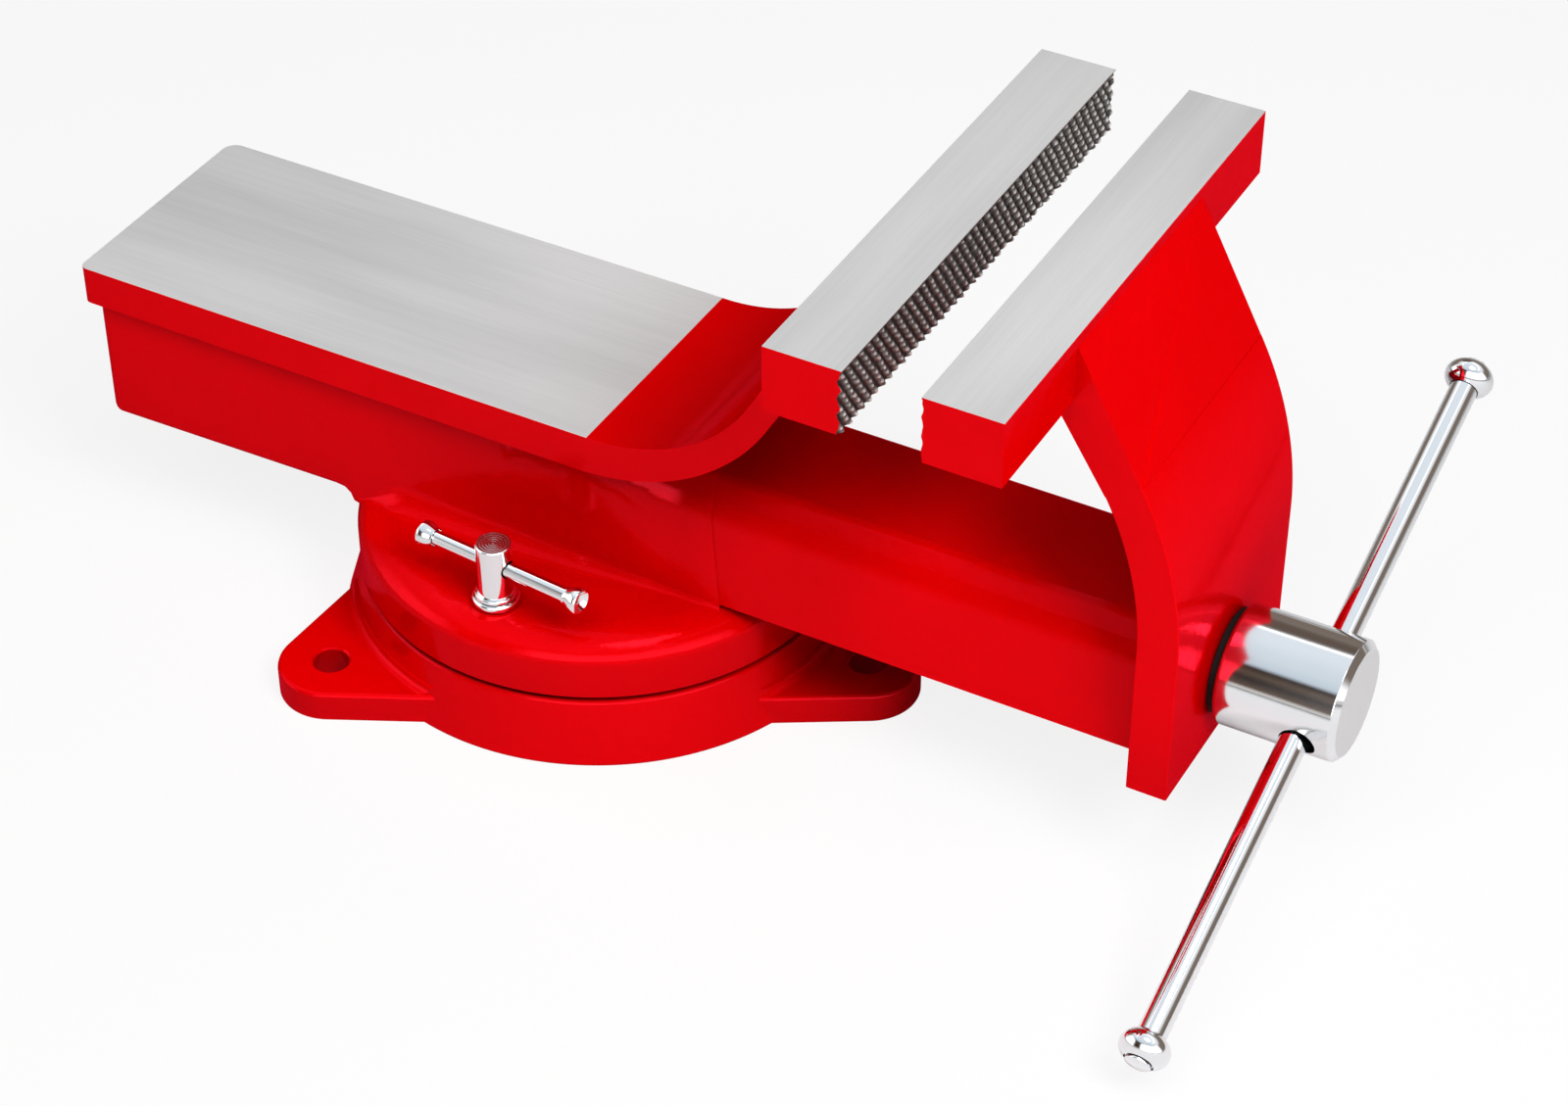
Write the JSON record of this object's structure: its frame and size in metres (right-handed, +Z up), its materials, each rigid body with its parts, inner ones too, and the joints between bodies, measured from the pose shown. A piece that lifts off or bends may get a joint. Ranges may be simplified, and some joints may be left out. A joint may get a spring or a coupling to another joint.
{
  "type": "swivel bench vise",
  "caption": "Steel bench vise on a swivel base, with wide toothed jaws, a long flat anvil, a screw with a sliding handle bar, and T-bar lock screws.",
  "frame": {"origin": "on the swivel axis, at the underside of the base", "axes": "+Z up, +X the way the moving jaw opens, towards the handle"},
  "size_m": [0.4879, 0.2767, 0.22],
  "materials": {
    "red_paint": "gloss",
    "polished_steel": "polished",
    "plain_steel": "satin",
    "dark_steel": "black oxide",
    "bronze": "machined"
  },
  "bodies": {
    "base": {"swivel_base": "red_paint", "pivot_pin": "plain_steel"},
    "body": {"fixed_body": "red_paint", "main_nut": "bronze", "nut_screw_near": "dark_steel", "nut_screw_far": "dark_steel", "lock_washer_near": "polished_steel", "lock_washer_far": "polished_steel"},
    "jaw": {"moving_jaw": "red_paint"},
    "screw": {"lead_screw": "polished_steel", "thrust_washer": "dark_steel", "retaining_collar": "plain_steel", "collar_pin": "plain_steel"},
    "handle": {"handle_bar": "polished_steel", "handle_knob_upper": "polished_steel", "handle_knob_lower": "polished_steel"},
    "lock_near": {"lock_screw_near": "polished_steel"},
    "tommy_near": {"tommy_bar_near": "polished_steel", "tommy_knob_front_near": "polished_steel", "tommy_knob_rear_near": "polished_steel"},
    "clamp_near": {"clamp_nut_near": "plain_steel"},
    "lock_far": {"lock_screw_far": "polished_steel"},
    "tommy_far": {"tommy_bar_far": "polished_steel", "tommy_knob_front_far": "polished_steel", "tommy_knob_rear_far": "polished_steel"},
    "clamp_far": {"clamp_nut_far": "plain_steel"}
  },
  "joints": [
    {"name": "swivel", "type": "hinge", "parent": "base", "child": "body", "pos_m": [0, 0, 0.0246], "axis": [0, 0, 1], "continuous": true},
    {"name": "jaw_slide", "type": "slide", "parent": "body", "child": "jaw", "axis": [1, 0, 0], "range_m": [-0.02712, 0.17262]},
    {"name": "screw_turn", "type": "hinge", "parent": "jaw", "child": "screw", "pos_m": [0.2481, 0, 0.0693], "axis": [1, 0, 0], "range_deg": [-1626, 10356]},
    {"name": "handle_slide", "type": "slide", "parent": "screw", "child": "handle", "axis": [0, 0.9367, 0.3502], "range_m": [-0.1088, 0.115]},
    {"name": "lock_turn_near", "type": "hinge", "parent": "body", "child": "lock_near", "pos_m": [0, -0.0731, 0.0667], "axis": [0, 0, 1], "range_deg": [-20, 20]},
    {"name": "tommy_slide_near", "type": "slide", "parent": "lock_near", "child": "tommy_near", "axis": [0.9954, -0.0958, 0], "range_m": [-0.0249, 0.0189]},
    {"name": "clamp_lift_near", "type": "slide", "parent": "body", "child": "clamp_near", "axis": [0, 0, 1], "range_m": [-0.000085, 0.000085]},
    {"name": "lock_turn_far", "type": "hinge", "parent": "body", "child": "lock_far", "pos_m": [0, 0.0731, 0.0667], "axis": [0, 0, 1], "range_deg": [-20, 20]},
    {"name": "tommy_slide_far", "type": "slide", "parent": "lock_far", "child": "tommy_far", "axis": [0.9954, 0.0958, 0], "range_m": [-0.0249, 0.0189]},
    {"name": "clamp_lift_far", "type": "slide", "parent": "body", "child": "clamp_far", "axis": [0, 0, 1], "range_m": [-0.000085, 0.000085]}
  ],
  "couplings": [
    {"joint": "jaw_slide", "follows": "screw_turn", "m_per_rad": 0.00095493},
    {"joint": "clamp_lift_near", "follows": "lock_turn_near", "m_per_rad": -0.00023873},
    {"joint": "clamp_lift_far", "follows": "lock_turn_far", "m_per_rad": -0.00023873}
  ]
}
